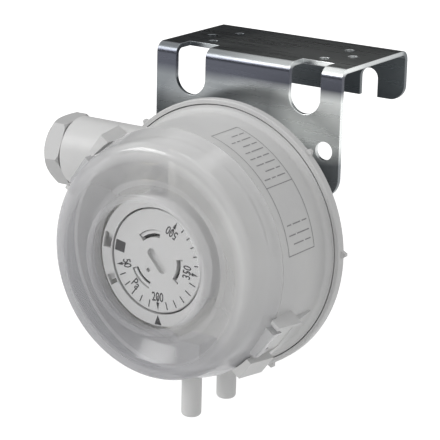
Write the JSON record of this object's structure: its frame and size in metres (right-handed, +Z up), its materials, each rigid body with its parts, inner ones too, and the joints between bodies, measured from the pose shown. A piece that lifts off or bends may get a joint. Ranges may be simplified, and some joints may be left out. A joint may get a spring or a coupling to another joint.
{
  "type": "differential pressure switch",
  "caption": "Round air differential pressure switch with a clear click-fit cover over its setting dial, a cable gland, hose spigots and a folded steel wall bracket.",
  "frame": {"origin": "On the wall face of the bracket's rear flange, midway between the centres of its two open slots.", "axes": "+X is right for someone who reads the dial, +Y goes into the wall, +Z is up. The dial and its cover face -Y."},
  "size_m": [0.0964, 0.0927, 0.109],
  "materials": {
    "bracket_sheet": "dull galvanised sheet, mottled and scuffed",
    "zinc_screw": "bright zinc plating",
    "housing_plastic": "light grey moulded plastic, fine satin",
    "silicone": "translucent silicone rubber",
    "inner_plastic": "natural white moulded plastic",
    "washer_steel": "plain stainless disc",
    "spring_steel": "bright stainless spring steel",
    "seat_brass": "turned brass",
    "black_rubber": "black nitrile rubber",
    "dial_plastic": "white moulded plastic with black print",
    "switch_plastic": "black phenolic",
    "plunger_plastic": "small red plunger",
    "tab_brass": "tinned brass blade",
    "cover_clear": "smoky clear moulded plastic, slightly hazy"
  },
  "bodies": {
    "housing": {"mounting_bracket": "bracket_sheet", "bracket_screws": "zinc_screw", "rear_housing": "housing_plastic", "diaphragm": "silicone", "front_housing": "housing_plastic", "partition": "inner_plastic", "pin_seal": "silicone", "range_spring": "spring_steel", "spindle_seal": "black_rubber", "scale_collar": "dial_plastic", "collar_screws": "zinc_screw", "microswitch_body": "switch_plastic", "lever_pin": "spring_steel", "switch_screws": "zinc_screw", "terminal_common": "tab_brass", "terminal_closed": "tab_brass", "terminal_open": "tab_brass", "gland_body": "housing_plastic", "gland_seal": "black_rubber", "gland_washer": "inner_plastic"},
    "cover": {"clear_cover": "cover_clear"},
    "dial": {"setting_spindle": "inner_plastic", "setting_dial": "dial_plastic"},
    "seat": {"spring_seat": "seat_brass"},
    "lift": {"diaphragm_plate": "inner_plastic", "diaphragm_washer": "washer_steel"},
    "lever": {"switch_lever": "spring_steel"},
    "plunger": {"switch_plunger": "plunger_plastic"},
    "nut": {"gland_nut": "housing_plastic"}
  },
  "joints": [
    {"name": "cover_lift", "type": "slide", "parent": "housing", "child": "cover", "axis": [0, -1, 0], "range_m": [0, 0.06]},
    {"name": "dial_turn", "type": "hinge", "parent": "housing", "child": "dial", "pos_m": [0, -0.0403, -0.0438], "axis": [0, -1, 0], "range_deg": [-148, 79]},
    {"name": "seat_travel", "type": "slide", "parent": "housing", "child": "seat", "axis": [0, -1, 0], "range_m": [-0.0018, 0.001], "deforming": ["range_spring"]},
    {"name": "diaphragm_lift", "type": "slide", "parent": "housing", "child": "lift", "axis": [0, -1, 0], "range_m": [0, 0.0006], "stiffness_N_per_m": 300, "deforming": ["diaphragm"]},
    {"name": "lever_swing", "type": "hinge", "parent": "housing", "child": "lever", "pos_m": [-0.008, -0.06635, -0.0116], "axis": [-1, 0, 0], "range_deg": [0, 2.5]},
    {"name": "plunger_press", "type": "slide", "parent": "housing", "child": "plunger", "axis": [0, -1, 0], "range_m": [0, 0.0005]},
    {"name": "gland_turn", "type": "hinge", "parent": "housing", "child": "nut", "pos_m": [-0.0455, -0.0643, -0.0218], "axis": [-1, 0, 0], "continuous": true}
  ],
  "couplings": [
    {"joint": "seat_travel", "follows": "dial_turn", "m_per_rad": 0.00063662},
    {"joint": "lever_swing", "follows": "diaphragm_lift", "rad_per_m": 68.027},
    {"joint": "plunger_press", "follows": "diaphragm_lift", "ratio": 0.7619}
  ]
}
